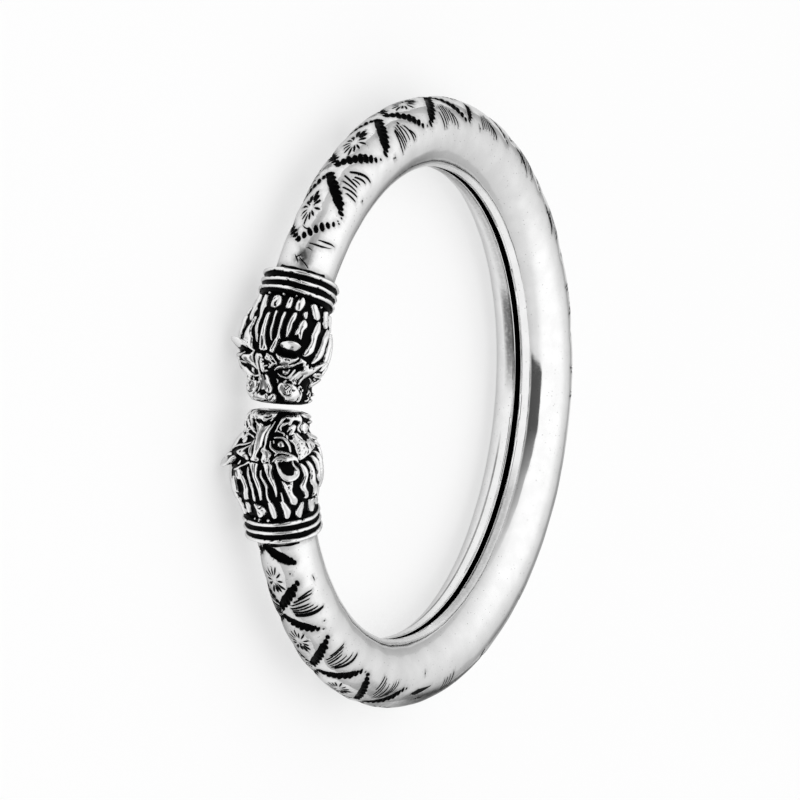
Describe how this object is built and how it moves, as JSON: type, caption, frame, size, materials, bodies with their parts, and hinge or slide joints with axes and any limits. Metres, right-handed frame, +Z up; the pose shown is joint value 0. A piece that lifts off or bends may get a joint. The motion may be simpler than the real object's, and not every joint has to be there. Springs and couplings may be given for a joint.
{
  "type": "lion head bangle, open hoop",
  "caption": "Open wrist bangle: a hollow rolled tube that swells to its back, with a ridged collar and a cast lion head on each end, lying on its side.",
  "frame": {"origin": "on the surface that the bangle lies on, under the middle of its overall box", "axes": "+Z up, along the hoop's axis but for a lean of half a degree; the gap between the two heads faces -Y, the left head is at -X"},
  "size_m": [0.0778, 0.0798, 0.0112],
  "materials": {
    "polished_silver": "polished silver with fine handling scratches, black left in the punch marks",
    "oxidised_silver": "cast silver, bright on the high points and black in the recesses"
  },
  "bodies": {
    "root": {"hoop_tube": "polished_silver", "collar_left": "oxidised_silver", "collar_right": "oxidised_silver", "lion_head_left": "oxidised_silver", "lion_head_right": "oxidised_silver"}
  },
  "joints": []
}
